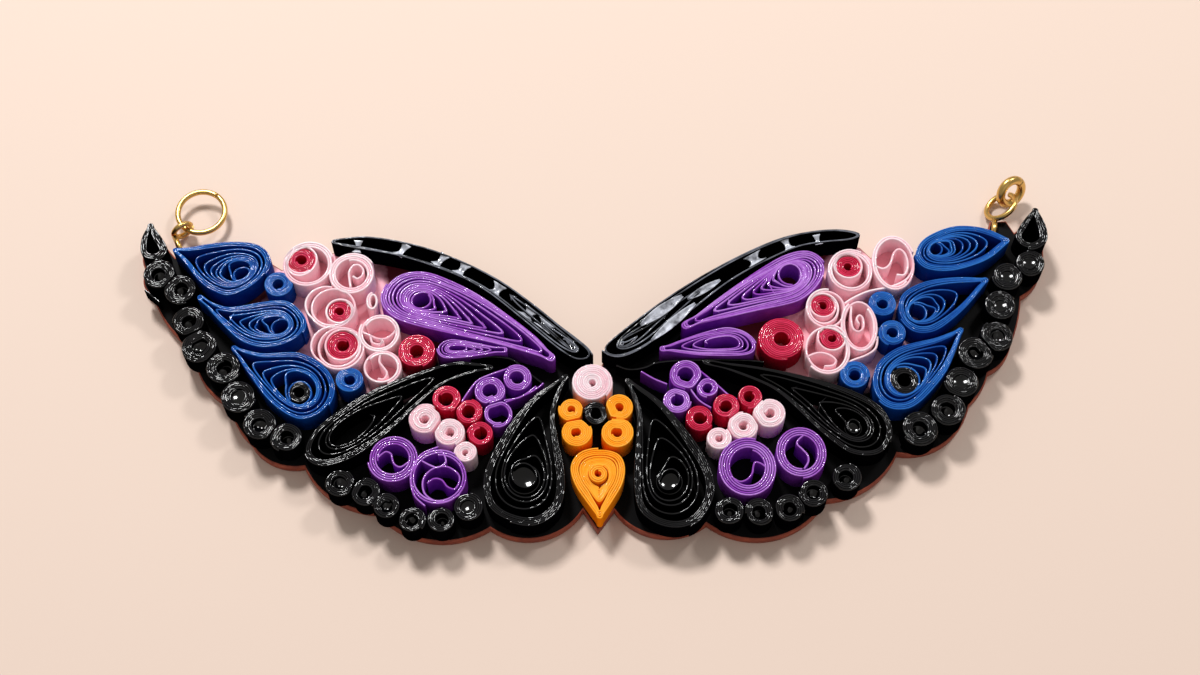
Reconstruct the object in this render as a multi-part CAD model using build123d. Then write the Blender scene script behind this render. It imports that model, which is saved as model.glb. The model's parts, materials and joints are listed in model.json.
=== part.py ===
# Quilled paper butterfly, a necklace centrepiece.
# Coils of paper strip stand on edge on a cut card backing, with an eye pin and a jump ring at each wing tip.
# The back lies on Z = 0, the body runs along Y with the head towards +Y, and the wings spread along X.
import math
import os

from build123d import *

os.makedirs("parts", exist_ok=True)

# Driving dimensions, in millimetres
half_span = 40.0             # body line to wing tip, the size of the template that the coils are made to fit
backing_thickness = 1.0      # card under the coils
strip_height = 2.4           # width of the paper strip, which is the coils' height
nest_gap = 0.06              # room round a coil that sits inside another one

# Wire fittings
eye_wire = 0.5               # diameter of the eye pins' wire
left_eye_radius = 0.85       # middle of the wire
right_eye_radius = 1.1
left_ring_radius = 2.1
right_ring_radius = 1.15
left_ring_wire = 0.5
right_ring_wire = 0.8
ring_slit = 0.08             # gap between a jump ring's cut ends
pin_seat_gap = 0.02          # glue line under a pin's shaft

# Angles in degrees, and counts of facets
left_eye_tilt = 90.0         # an eye's lean from the level, about its shaft
right_eye_tilt = 40.0
left_ring_lift = 0.0         # a ring's rise in its eye, away from the wing
right_ring_lift = 46.0
left_ring_swing = 30.0       # a ring's turn in its eye, towards the body
right_ring_swing = 0.0
outline_steps = 2            # facets between two places of a shaped outline
round_sides = 12
tight_sides = 10
hole_sides = 6
wire_sides = 6
s_strip_steps = 10

# Shares of a coil's own size
tight_hole_share = 0.4       # open middle of a tight coil
seat_share = 0.7             # room for the inner coil of a scroll
seat_slide_share = 0.9       # how far that room lies over to one side
eye_seat_share = 0.027       # radius of the room in a lowest blue teardrop's eye, as a share of the half span
s_strip_sway_share = 0.42    # how far an S-strip swings from the coil's middle
s_strip_reach_share = 1.08   # how far its ends run, into the rim
eye_loop_share = 0.92        # part of a full turn in an eye

# Walls of the shaped coils as shares of the half span: turns of strip that lie packed together
rim_shares = {
    "tip_teardrop": 0.011, "blue_upper": 0.0125, "blue_middle": 0.0125, "blue_lower": 0.0125,
    "purple_large": 0.0125, "purple_small": 0.008, "fore_band": 0.0085, "leaf": 0.015, "body_teardrop": 0.015,
    "orange_teardrop": 0.022, "pink_scroll": 0.0105, "purple_s_coil": 0.015}
loop_wall_share = 0.006      # turns that run together in a loop inside a shaped coil

# Places are shares of the half span: X to the right, Y towards the head.
# Tight coils: middle and radius.
left_shares = {
    "edge_beads": [
        (-0.958, 0.388, 0.030), (-0.907, 0.351, 0.030), (-0.883, 0.274, 0.030), (-0.854, 0.214, 0.033),
        (-0.798, 0.164, 0.032), (-0.761, 0.096, 0.032), (-0.712, 0.032, 0.031), (-0.653, 0.002, 0.029)],
    "lower_beads": [
        (-0.536, -0.101, 0.027), (-0.481, -0.121, 0.027), (-0.437, -0.152, 0.025),
        (-0.382, -0.183, 0.025), (-0.322, -0.181, 0.025), (-0.268, -0.154, 0.027)],
    "blue_coils": [(-0.695, 0.363, 0.028), (-0.527, 0.134, 0.027)],
    "large_crimson": [(-0.389, 0.202, 0.037)],
    "purple_coils": [(-0.230, 0.108, 0.031), (-0.172, 0.138, 0.029), (-0.211, 0.055, 0.022)],
    "small_crimson": [(-0.321, 0.089, 0.029), (-0.272, 0.060, 0.027), (-0.247, 0.009, 0.026)],
    "small_pink": [(-0.364, 0.043, 0.031), (-0.312, 0.012, 0.029), (-0.276, -0.033, 0.022)],
    # Pink scrolls: middle, half width, half depth, turn in degrees, and which hold a crimson coil.
    "pink_scrolls": [
        (-0.633, 0.410, 0.049, 0.049, 20.0, True), (-0.536, 0.387, 0.045, 0.045, 75.0, False),
        (-0.573, 0.304, 0.046, 0.045, 140.0, True), (-0.551, 0.208, 0.047, 0.047, 170.0, True),
        (-0.469, 0.244, 0.040, 0.041, 30.0, False), (-0.460, 0.162, 0.037, 0.036, 80.0, False)],
    "s_coils": [(-0.427, -0.048, 0.049, 0.049, 20.0), (-0.330, -0.090, 0.056, 0.057, 10.0)],
}
right_shares = {
    "edge_beads": [
        (0.944, 0.416, 0.028), (0.892, 0.383, 0.029), (0.871, 0.312, 0.030), (0.858, 0.240, 0.031),
        (0.807, 0.199, 0.033), (0.772, 0.131, 0.032), (0.738, 0.066, 0.032), (0.676, 0.023, 0.034)],
    "lower_beads": [
        (0.516, -0.088, 0.027), (0.446, -0.123, 0.027), (0.395, -0.157, 0.027),
        (0.333, -0.165, 0.027), (0.272, -0.161, 0.027)],
    "blue_coils": [(0.616, 0.315, 0.028), (0.633, 0.245, 0.027), (0.546, 0.145, 0.029)],
    "large_crimson": [(0.394, 0.231, 0.047)],
    "purple_coils": [(0.187, 0.145, 0.032), (0.233, 0.115, 0.022), (0.167, 0.086, 0.028)],
    "small_crimson": [(0.321, 0.094, 0.025), (0.270, 0.073, 0.027), (0.214, 0.045, 0.028)],
    "small_pink": [(0.362, 0.057, 0.031), (0.306, 0.027, 0.029), (0.253, -0.001, 0.024)],
    "pink_scrolls": [
        (0.551, 0.395, 0.044, 0.046, 40.0, True), (0.646, 0.413, 0.043, 0.060, 140.0, False),
        (0.493, 0.302, 0.039, 0.042, 60.0, True), (0.563, 0.261, 0.036, 0.055, 110.0, False),
        (0.490, 0.203, 0.044, 0.050, 230.0, True)],
    "s_coils": [(0.312, -0.067, 0.057, 0.061, 330.0), (0.423, -0.034, 0.050, 0.054, 60.0)],
}

# Shaped coils: the outline from its pinched end round and back to it, the eye, and the loops' sizes in it.
left_outline_shares = {
    "tip_teardrop": [(-0.988, 0.517), (-0.961, 0.482), (-0.943, 0.447), (-0.957, 0.423),
                     (-0.983, 0.420), (-1.004, 0.437), (-1.006, 0.477)],
    "blue_upper": [(-0.922, 0.444), (-0.868, 0.460), (-0.801, 0.468), (-0.742, 0.458),
                   (-0.714, 0.418), (-0.735, 0.370), (-0.801, 0.331), (-0.868, 0.366)],
    "blue_middle": [(-0.871, 0.337), (-0.804, 0.307), (-0.735, 0.317), (-0.671, 0.320),
                    (-0.628, 0.274), (-0.644, 0.230), (-0.706, 0.206), (-0.778, 0.230)],
    "blue_lower": [(-0.788, 0.215), (-0.718, 0.196), (-0.641, 0.198), (-0.581, 0.163),
                   (-0.557, 0.113), (-0.574, 0.062), (-0.630, 0.038), (-0.706, 0.092)],
    "purple_large": [(-0.087, 0.174), (-0.125, 0.228), (-0.193, 0.288), (-0.279, 0.352), (-0.372, 0.395),
                     (-0.442, 0.383), (-0.472, 0.327), (-0.436, 0.277), (-0.339, 0.246), (-0.210, 0.214)],
    "purple_small": [(-0.190, 0.203), (-0.253, 0.219), (-0.315, 0.231), (-0.345, 0.211),
                     (-0.328, 0.183), (-0.252, 0.189)],
    "fore_band": [(-0.595, 0.467), (-0.512, 0.480), (-0.368, 0.449), (-0.213, 0.371), (-0.082, 0.262),
                  (-0.019, 0.208), (-0.013, 0.185), (-0.049, 0.178), (-0.108, 0.224), (-0.212, 0.319),
                  (-0.300, 0.379), (-0.433, 0.430), (-0.544, 0.452)],
    "leaf": [(-0.215, 0.161), (-0.294, 0.176), (-0.389, 0.149), (-0.493, 0.102), (-0.586, 0.030),
             (-0.614, -0.034), (-0.573, -0.066), (-0.496, -0.037), (-0.418, 0.032), (-0.326, 0.124)],
    "body_teardrop": [(-0.060, 0.150), (-0.140, 0.092), (-0.203, 0.005), (-0.240, -0.092), (-0.220, -0.166),
                      (-0.139, -0.198), (-0.078, -0.159), (-0.069, -0.074), (-0.090, 0.050)],
}
right_outline_shares = {
    "tip_teardrop": [(0.970, 0.556), (0.987, 0.515), (0.988, 0.472), (0.961, 0.448),
                     (0.931, 0.452), (0.914, 0.480), (0.938, 0.523)],
    "blue_upper": [(0.908, 0.470), (0.858, 0.500), (0.787, 0.508), (0.719, 0.480),
                   (0.692, 0.437), (0.714, 0.400), (0.777, 0.394), (0.856, 0.423)],
    "blue_middle": [(0.853, 0.376), (0.788, 0.380), (0.711, 0.371), (0.657, 0.339),
                    (0.647, 0.288), (0.677, 0.247), (0.730, 0.250), (0.799, 0.308)],
    "blue_lower": [(0.787, 0.259), (0.722, 0.233), (0.646, 0.214), (0.594, 0.174),
                   (0.580, 0.115), (0.607, 0.070), (0.668, 0.071), (0.744, 0.155)],
    "purple_large": [(0.174, 0.254), (0.222, 0.296), (0.310, 0.368), (0.398, 0.429), (0.462, 0.444),
                     (0.498, 0.410), (0.486, 0.364), (0.437, 0.317), (0.349, 0.295)],
    "purple_small": [(0.127, 0.204), (0.186, 0.231), (0.273, 0.257), (0.326, 0.239),
                     (0.341, 0.206), (0.313, 0.187), (0.218, 0.188)],
    "fore_band": [(0.585, 0.485), (0.533, 0.498), (0.400, 0.476), (0.222, 0.381), (0.090, 0.283),
                  (0.018, 0.222), (0.010, 0.197), (0.047, 0.185), (0.108, 0.216), (0.216, 0.309),
                  (0.305, 0.381), (0.441, 0.454), (0.553, 0.470)],
    "leaf": [(0.215, 0.178), (0.313, 0.168), (0.429, 0.145), (0.534, 0.111), (0.599, 0.068),
             (0.618, 0.011), (0.592, -0.038), (0.525, -0.038), (0.455, 0.022), (0.366, 0.114)],
    "body_teardrop": [(0.055, 0.141), (0.080, 0.050), (0.072, -0.074), (0.082, -0.163), (0.141, -0.203),
                      (0.203, -0.192), (0.238, -0.137), (0.238, -0.083), (0.205, -0.010), (0.134, 0.083)],
}
left_eye_shares = {
    "tip_teardrop": (-0.982, 0.446), "blue_upper": (-0.773, 0.386), "blue_middle": (-0.674, 0.269),
    "blue_lower": (-0.622, 0.108), "purple_large": (-0.390, 0.322), "purple_small": (-0.312, 0.207),
    "fore_band": (-0.045, 0.205), "leaf": (-0.565, -0.012), "body_teardrop": (-0.150, -0.101)}
right_eye_shares = {
    "tip_teardrop": (0.953, 0.486), "blue_upper": (0.742, 0.445), "blue_middle": (0.690, 0.295),
    "blue_lower": (0.641, 0.131), "purple_large": (0.430, 0.378), "purple_small": (0.290, 0.217),
    "fore_band": (0.045, 0.216), "leaf": (0.562, 0.021), "body_teardrop": (0.150, -0.095)}
loop_shares = {
    "tip_teardrop": (), "blue_upper": (0.72, 0.46), "blue_middle": (0.72, 0.46), "blue_lower": (),
    "purple_large": (0.78, 0.58, 0.34), "purple_small": (0.66,), "fore_band": (0.8,),
    "leaf": (0.74, 0.5), "body_teardrop": (0.76, 0.5)}

# Body
head_shares = [(-0.013, 0.127, 0.041)]
orange_coil_shares = [(-0.057, 0.064, 0.023), (0.044, 0.070, 0.026),
                      (-0.045, 0.012, 0.028), (0.040, 0.011, 0.030)]
body_bead_shares = [(-0.005, 0.055, 0.026)]
orange_outline_shares = [(0.004, -0.183), (-0.043, -0.115), (-0.058, -0.065), (-0.038, -0.030),
                         (0.004, -0.020), (0.046, -0.032), (0.060, -0.067), (0.048, -0.115)]
orange_eye_share = (0.000, -0.072)
orange_loop_shares = (0.5,)
pink_loop_share = (-0.488, 0.320, 0.013, 0.021)

# Backing outline, counter-clockwise from the notch over the head: an arc's end, and its bow out of the chord
notch_share = (0.000, 0.176)
backing_edge_shares = [
    (-0.022, 0.202, 0.0), (-0.213, 0.365, 0.0), (-0.368, 0.443, 0.0), (-0.590, 0.470, 0.07),
    (-0.640, 0.452, 0.10), (-0.700, 0.428, 0.0), (-0.742, 0.456, 0.0), (-0.870, 0.456, 0.08),
    (-0.938, 0.458, 0.0), (-0.986, 0.514, 0.0), (-1.000, 0.425, 0.20), (-0.980, 0.364, 0.20),
    (-0.904, 0.252, 0.06), (-0.866, 0.184, 0.08), (-0.788, 0.099, 0.10), (-0.738, 0.013, 0.08),
    (-0.620, -0.042, 0.16), (-0.461, -0.146, 0.14), (-0.224, -0.180, 0.19), (-0.031, -0.140, 0.22),
    (0.000, -0.187, 0.0), (0.034, -0.140, 0.0), (0.226, -0.170, 0.22), (0.476, -0.119, 0.23),
    (0.634, -0.012, 0.14), (0.762, 0.036, 0.14), (0.796, 0.102, 0.06), (0.842, 0.176, 0.08),
    (0.896, 0.240, 0.12), (0.930, 0.360, 0.04), (0.976, 0.412, 0.10), (0.990, 0.492, 0.06),
    (0.970, 0.553, 0.04), (0.930, 0.522, 0.0), (0.914, 0.552, 0.0), (0.878, 0.550, 0.0),
    (0.862, 0.497, 0.0), (0.722, 0.478, 0.14), (0.690, 0.446, 0.0), (0.606, 0.458, 0.30),
    (0.583, 0.484, 0.0), (0.400, 0.471, 0.08), (0.222, 0.376, 0.0), (0.018, 0.218, 0.0)]

# Pins: the eye's middle and the shaft's inner end
left_pin_shares = ((-0.921, 0.528), (-0.933, 0.432))
right_pin_shares = ((0.910, 0.596), (0.904, 0.507))

rim_walls = {name: share * half_span for name, share in rim_shares.items()}
loop_wall = loop_wall_share * half_span
eye_seat_radius = eye_seat_share * half_span


def spot(share):
    return share[0] * half_span, share[1] * half_span


def pinched(shares, steps):
    # A smooth curve through the places, from the pinched first one round and back to it.
    places = [spot(share) for share in shares]
    run = [places[0]] + places + [places[0], places[0]]
    points = []
    for before, start, end, after in zip(run, run[1:], run[2:], run[3:]):
        for step in range(steps):
            t = step / steps
            points.append(tuple(
                b + ((c - a) * t + (2 * a - 5 * b + 4 * c - d) * t**2 + (3 * b - a - 3 * c + d) * t**3) / 2
                for a, b, c, d in zip(before, start, end, after)))
    return points


def oval(middle, half_width, half_depth, sides):
    turns = [2 * math.pi * side / sides for side in range(sides)]
    return [(middle[0] + half_width * math.cos(t), middle[1] + half_depth * math.sin(t)) for t in turns]


def face(points):
    return make_face(Polyline(*points, close=True))


def inset(sketch, wall):
    return offset(sketch, amount=-wall, kind=Kind.INTERSECTION)


def band(points, width):
    # A strip of even width along a run of points.
    sides = [[], []]
    for index, point in enumerate(points):
        before = points[max(index - 1, 0)]
        after = points[min(index + 1, len(points) - 1)]
        run = math.dist(before, after)
        across = ((before[1] - after[1]) / run, (after[0] - before[0]) / run)
        for side, sign in zip(sides, (1, -1)):
            side.append((point[0] + sign * across[0] * width / 2, point[1] + sign * across[1] * width / 2))
    return face(sides[0] + sides[1][::-1])


def stand(sketch):
    return extrude(Pos(0, 0, backing_thickness) * sketch, amount=strip_height, dir=(0, 0, 1))


def write(node, pieces):
    solids = [solid for piece in pieces for solid in piece.solids()]
    export_step(solids[0] if len(solids) == 1 else Compound(children=solids), "parts/" + node + ".step")


def tight_coil(middle, radius):
    hole = radius * tight_hole_share
    return stand(face(oval(middle, radius, radius, tight_sides)) - face(oval(middle, hole, hole, hole_sides)))


def tight_coils(rows):
    return [tight_coil(spot(row), row[2] * half_span) for row in rows]


def shaped_coil(shares, eye_share, loops, rim_wall, seat_radius=0):
    # A rim of packed turns, and loops that run together with it at the side nearest the eye.
    # With a seat, turns fill the space from the rim in to a round room at the eye.
    outline = pinched(shares, outline_steps)
    eye = spot(eye_share)
    near = min(outline, key=lambda point: math.dist(point, eye))
    inward = rim_wall / 2 / math.dist(near, eye)
    pivot = tuple(n + (e - n) * inward for n, e in zip(near, eye))
    opening = inset(face(outline), rim_wall)
    for loop in loops:
        turn = face([tuple(p + (q - p) * loop for p, q in zip(pivot, point)) for point in pinched(shares, 1)])
        opening -= turn - inset(turn, loop_wall)
    if seat_radius:
        filled = math.dist(near, eye) - rim_wall / 2
        opening -= face(oval(eye, filled, filled, round_sides))
        opening += face(oval(eye, seat_radius, seat_radius, tight_sides))
    return stand(face(outline) - opening)


def s_coil(row, rim_wall):
    # A round rim with one strip that swings through its middle in an S.
    middle = spot(row)
    half_width, half_depth = row[2] * half_span, row[3] * half_span
    room = (half_width - rim_wall, half_depth - rim_wall)
    turn = math.radians(row[4])
    strip = []
    for step in range(s_strip_steps + 1):
        along = s_strip_reach_share * (2 * step / s_strip_steps - 1)
        sway = s_strip_sway_share * math.sin(math.pi * along)
        strip.append((middle[0] + room[0] * (along * math.cos(turn) - sway * math.sin(turn)),
                      middle[1] + room[1] * (along * math.sin(turn) + sway * math.cos(turn))))
    opening = face(oval(middle, *room, round_sides)) - band(strip, loop_wall)
    return stand(face(oval(middle, half_width, half_depth, round_sides)) - opening)


def scroll_seat(row):
    # Middle and radius of the room for an inner coil, over to one side of the scroll's opening.
    room = min(row[2], row[3]) * half_span - rim_walls["pink_scroll"]
    radius = room * seat_share
    slide = (room - radius) * seat_slide_share
    turn = math.radians(row[4])
    middle = spot(row)
    return (middle[0] - slide * math.cos(turn), middle[1] - slide * math.sin(turn)), radius


def filled_scroll(row):
    # A round rim with a loop inside that holds a coil of another colour.
    middle = spot(row)
    half_width, half_depth = row[2] * half_span, row[3] * half_span
    seat, radius = scroll_seat(row)
    loop = face(oval(seat, radius + loop_wall, radius + loop_wall, tight_sides))
    loop -= face(oval(seat, radius, radius, tight_sides))
    wall = rim_walls["pink_scroll"]
    opening = face(oval(middle, half_width - wall, half_depth - wall, round_sides)) - loop
    return stand(face(oval(middle, half_width, half_depth, round_sides)) - opening)


def wire_loop(radius, wire, turn):
    # A loop of round wire in the XY plane about the origin, open at its +X side by the rest of a full turn.
    section = Plane.XZ * Pos(radius, 0) * RegularPolygon(wire / 2, wire_sides)
    return Rot(0, 0, (360 - turn) / 2) * revolve(section, Axis.Z, revolution_arc=turn)


def fitting(pin_shares, eye_radius, tilt, ring_radius, ring_wire, lift, swing):
    # An eye pin whose shaft lies on the backing, and a jump ring through its eye.
    eye, inner = spot(pin_shares[0]), spot(pin_shares[1])
    height = backing_thickness + pin_seat_gap + eye_wire / 2
    middle = Vector(*eye, height)
    out = (middle - Vector(*inner, height)).normalized()
    level = out.cross(Vector(0, 0, 1))
    rise = level * math.cos(math.radians(tilt)) + Vector(0, 0, 1) * math.sin(math.radians(tilt))
    hinge = out.cross(rise)
    loop_plane = Plane(origin=middle, x_dir=-out, z_dir=hinge)
    shaft_length = (middle - Vector(*inner, height)).length - eye_radius
    shaft_plane = Plane(origin=middle - out * eye_radius, x_dir=rise, z_dir=-out)
    pin = loop_plane.location * Rot(0, 0, 180 * (1 - eye_loop_share)) * wire_loop(
        eye_radius, eye_wire, 360 * eye_loop_share)
    pin += extrude(shaft_plane * RegularPolygon(eye_wire / 2, wire_sides), amount=shaft_length)
    swung = out * math.cos(math.radians(swing)) + hinge * math.sin(math.radians(swing))
    reach = swung * math.cos(math.radians(lift)) + rise * math.sin(math.radians(lift))
    axle = swung.cross(rise)
    ring_plane = Plane(origin=middle + reach * ring_radius, x_dir=reach, z_dir=axle.cross(reach))
    ring_turn = 360 - math.degrees(ring_slit / ring_radius)
    ring = ring_plane.location * wire_loop(ring_radius, ring_wire, ring_turn)
    print("hinge", [round(c, 4) for c in middle], [round(c, 6) for c in axle])
    return pin, ring


def backing():
    places = [spot(notch_share)] + [spot(row) for row in backing_edge_shares] + [spot(notch_share)]
    bows = [row[2] for row in backing_edge_shares] + [0]
    edges = []
    for start, end, bow in zip(places, places[1:], bows):
        if bow == 0:
            edges.append(Line(start, end))
            continue
        middle = ((start[0] + end[0]) / 2 + (end[1] - start[1]) * bow,
                  (start[1] + end[1]) / 2 - (end[0] - start[0]) * bow)
        edges.append(ThreePointArc(start, middle, end))
    return extrude(make_face(Curve() + edges), amount=backing_thickness, dir=(0, 0, 1))


write("backing", [backing()])

wings = (("left_", left_shares, left_outline_shares, left_eye_shares),
         ("right_", right_shares, right_outline_shares, right_eye_shares))
for side, rows, outlines, eyes in wings:
    for name, shares in outlines.items():
        room = eye_seat_radius if name == "blue_lower" else 0
        write(side + name, [shaped_coil(shares, eyes[name], loop_shares[name], rim_walls[name], room)])
    for name in ("edge_beads", "lower_beads", "blue_coils", "purple_coils", "small_crimson", "small_pink"):
        write(side + name, tight_coils(rows[name]))
    crimson = tight_coils(rows["large_crimson"])
    for number, row in enumerate(rows["pink_scrolls"], 1):
        node = side + "pink_scroll_%d" % number
        if row[5]:
            seat, radius = scroll_seat(row)
            write(node, [filled_scroll(row)])
            crimson.append(tight_coil(seat, radius - nest_gap))
        else:
            write(node, [s_coil(row, rim_walls["pink_scroll"])])
    write(side + "crimson_coils", crimson)
    for number, row in enumerate(rows["s_coils"], 1):
        write(side + "purple_s_coil_%d" % number, [s_coil(row, rim_walls["purple_s_coil"])])

eye_places = [eyes["blue_lower"] for eyes in (left_eye_shares, right_eye_shares)]
write("black_eye_coils", [tight_coil(spot(place), eye_seat_radius - nest_gap) for place in eye_places])
write("head_coil", tight_coils(head_shares))
write("orange_coils", tight_coils(orange_coil_shares))
write("black_body_bead", tight_coils(body_bead_shares))
orange_wall = rim_walls["orange_teardrop"]
orange = shaped_coil(orange_outline_shares, orange_eye_share, orange_loop_shares, orange_wall)
write("orange_teardrop", [orange])
loop_size = [share * half_span for share in pink_loop_share[2:]]
pink_loop = face(oval(spot(pink_loop_share), *loop_size, tight_sides))
write("left_pink_loop", [stand(pink_loop - inset(pink_loop, loop_wall))])

left_pin, left_ring = fitting(left_pin_shares, left_eye_radius, left_eye_tilt,
                              left_ring_radius, left_ring_wire, left_ring_lift, left_ring_swing)
right_pin, right_ring = fitting(right_pin_shares, right_eye_radius, right_eye_tilt,
                                right_ring_radius, right_ring_wire, right_ring_lift, right_ring_swing)
write("left_eye_pin", [left_pin])
write("left_jump_ring", [left_ring])
write("right_eye_pin", [right_pin])
write("right_jump_ring", [right_ring])
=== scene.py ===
import json
import math
import random

import bmesh
import bpy
from mathutils import Matrix, Vector, noise


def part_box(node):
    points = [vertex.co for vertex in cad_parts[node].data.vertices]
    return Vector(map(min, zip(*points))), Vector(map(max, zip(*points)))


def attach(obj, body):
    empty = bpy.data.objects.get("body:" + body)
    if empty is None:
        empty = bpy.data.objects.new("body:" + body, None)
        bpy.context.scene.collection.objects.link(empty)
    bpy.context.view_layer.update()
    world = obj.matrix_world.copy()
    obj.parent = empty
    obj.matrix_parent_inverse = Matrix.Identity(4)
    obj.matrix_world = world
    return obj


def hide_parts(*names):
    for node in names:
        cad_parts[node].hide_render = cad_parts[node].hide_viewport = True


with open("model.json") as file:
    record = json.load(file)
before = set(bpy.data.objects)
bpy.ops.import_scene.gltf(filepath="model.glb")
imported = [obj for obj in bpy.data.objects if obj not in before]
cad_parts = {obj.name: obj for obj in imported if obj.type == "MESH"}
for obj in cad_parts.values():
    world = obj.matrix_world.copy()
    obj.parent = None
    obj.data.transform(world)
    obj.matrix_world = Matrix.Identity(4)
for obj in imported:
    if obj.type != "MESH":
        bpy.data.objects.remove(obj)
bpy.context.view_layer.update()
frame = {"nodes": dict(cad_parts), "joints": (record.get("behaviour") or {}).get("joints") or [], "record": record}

mm = 0.001
tiny = 1e-9  # keeps a division away from zero
fine = 8  # steps of a curve between two points
anyTurn = 6.28  # radians, a full turn for a random heading
scene = bpy.context.scene
pick = random.Random(7)
slotOf = {part["node"]: part["material_slot"] for part in frame["record"]["subparts"]}


def linearColor(code):
    parts = [int(code[i:i + 2], 16) / 255 for i in (1, 3, 5)]
    return [p / 12.92 if p <= 0.04045 else ((p + 0.055) / 1.055) ** 2.4 for p in parts] + [1.0]


def addNode(tree, kind, settings=None, inputs=None):
    node = tree.nodes.new(kind)
    for name, value in (settings or {}).items():
        setattr(node, name, value)
    for name, value in (inputs or {}).items():
        if isinstance(value, bpy.types.NodeSocket):
            tree.links.new(value, node.inputs[name])
        else:
            node.inputs[name].default_value = value
    return node


def newMaterial(name):
    material = bpy.data.materials.new(name)
    material.use_nodes = True
    material.node_tree.nodes.clear()
    return material, material.node_tree


def objectSpot(tree):
    return addNode(tree, "ShaderNodeTexCoord").outputs["Object"]


# size: of one spot of the pattern, mm.
def speckle(tree, spot, size, detail):
    pattern = addNode(tree, "ShaderNodeTexNoise", None,
                      {"Vector": spot, "Scale": 1 / (size * mm), "Detail": detail})
    return pattern.outputs["Fac"]


def toneRamp(tree, value, stops):
    node = addNode(tree, "ShaderNodeValToRGB", None, {"Fac": value})
    for element, (position, code) in zip(node.color_ramp.elements, stops):
        element.position = position
        element.color = linearColor(code)
    return node.outputs["Color"]


def paint(tree, inputs):
    shader = addNode(tree, "ShaderNodeBsdfPrincipled", None, inputs)
    addNode(tree, "ShaderNodeOutputMaterial", None, {"Surface": shader.outputs["BSDF"]})


# ripple, depth: of the brushed varnish; scatter: how far light goes into the paper. All in mm.
coatSizes = {"ripple": 0.9, "depth": 0.2, "scatter": 0.3}


# Quilling paper brushed with clear varnish. Fibres mottle the colour, and each turn of the strip has taken the dye
# and the brush a little differently; where turns come out lighter they also stand for painted highlight lines
# along the strips. The varnish gives wet, broken glints.
def varnishedPaper(name, dark, light, grain, streaked, coat, bump, glow=0.0, dull=0.03):
    material, tree = newMaterial(name)
    spot = objectSpot(tree)
    turns = addNode(tree, "ShaderNodeAttribute", {"attribute_name": "streak"})
    mottle = addNode(tree, "ShaderNodeMath", {"operation": "MULTIPLY"},
                     {0: speckle(tree, spot, grain, 4.0), 1: 1 - streaked})
    # The turn streaks lighten some turns: partly dye, partly painted highlight lines.
    mixed = addNode(tree, "ShaderNodeMath", {"operation": "MULTIPLY_ADD"},
                    {0: turns.outputs["Fac"], 1: streaked, 2: mottle.outputs["Value"]})
    run = addNode(tree, "ShaderNodeAttribute", {"attribute_name": "run"})
    shift = addNode(tree, "ShaderNodeCombineXYZ", None, {"Z": run.outputs["Fac"]})
    shifted = addNode(tree, "ShaderNodeVectorMath", {"operation": "ADD"},
                      {0: spot, 1: shift.outputs["Vector"]})
    brushed = speckle(tree, shifted.outputs["Vector"], coatSizes["ripple"], 0.0)
    ripple = addNode(tree, "ShaderNodeBump", None,
                     {"Strength": bump, "Distance": coatSizes["depth"] * mm, "Height": brushed})
    paint(tree, {
        "Base Color": toneRamp(tree, mixed.outputs["Value"], [(0.3, dark), (0.7, light)]), "Roughness": 0.6,
        "IOR": 1.5, "Specular IOR Level": 0.0, "Coat Weight": coat, "Coat Roughness": dull, "Coat IOR": 1.5,
        "Normal": ripple.outputs["Normal"], "Coat Normal": ripple.outputs["Normal"],
        "Subsurface Weight": glow, "Subsurface Scale": coatSizes["scatter"] * mm,
        "Subsurface Radius": (1.0, 0.8, 0.8)})
    return material


# Each colour has its wall, dyed through, and its cut edge. The cut edge is lighter partly because its fibres
# scatter more light and partly as painted light from above, and most walls are painted deeper as shade between the
# coils.
# coat: varnish on wall and edge; thick: of the paper with its varnish, mm.
paperTones = {
    "black_paper": {"wall": ("#010102", "#040406"), "edge": ("#030304", "#0e0e12"), "coat": (0.0, 1.0),
                    "bump": 0.45, "thick": 0.17},
    "blue_paper": {"wall": ("#042f80", "#0a4499"), "edge": ("#0a4598", "#276abb"), "coat": (0.1, 0.6),
                   "bump": 0.5, "thick": 0.15},
    # Pink walls are painted as light as the cut edge: painted light for what comes through the thin paper.
    "pink_paper": {"wall": ("#ffc6d0", "#ffd8e0"), "edge": ("#f9c0cc", "#ffe4ea"), "coat": (0.1, 0.5),
                   "bump": 0.4, "thick": 0.19, "glow": 0.5},
    "crimson_paper": {"wall": ("#a80826", "#c01438"), "edge": ("#be183e", "#de365e"), "coat": (0.15, 1.0),
                      "bump": 0.5, "thick": 0.15},
    "purple_paper": {"wall": ("#70249a", "#9040ba"), "edge": ("#9040b4", "#bd82dc"), "coat": (0.15, 0.8),
                     "bump": 0.5, "thick": 0.15},
    "orange_paper": {"wall": ("#f87c06", "#fe9414"), "edge": ("#fb9c1c", "#ffb23e"), "coat": (0.0, 0.2),
                     "bump": 0.2, "thick": 0.16},
}
paperGrain = {"wall": (1.2, 0.3), "edge": (0.4, 0.6)}  # mottle in mm, share that follows the turns
papers = {}
for slotName, tones in paperTones.items():
    glow = tones.get("glow", 0.0)
    wall = varnishedPaper(slotName + "_wall", *tones["wall"], *paperGrain["wall"], tones["coat"][0],
                          tones["bump"] / 2, glow)
    edge = varnishedPaper(slotName + "_cut_edge", *tones["edge"], *paperGrain["edge"], tones["coat"][1],
                          tones["bump"], glow)
    papers[slotName] = [wall, edge]
# The top of the fore bands, greyed by dried varnish and painted with a grey sheen for the light its rails reflect.
frostedSheen = varnishedPaper("frosted_sheen_black_edge", "#050506", "#868a96", grain=1.0, streaked=0.35, coat=1.0,
                         bump=0.45)

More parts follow.
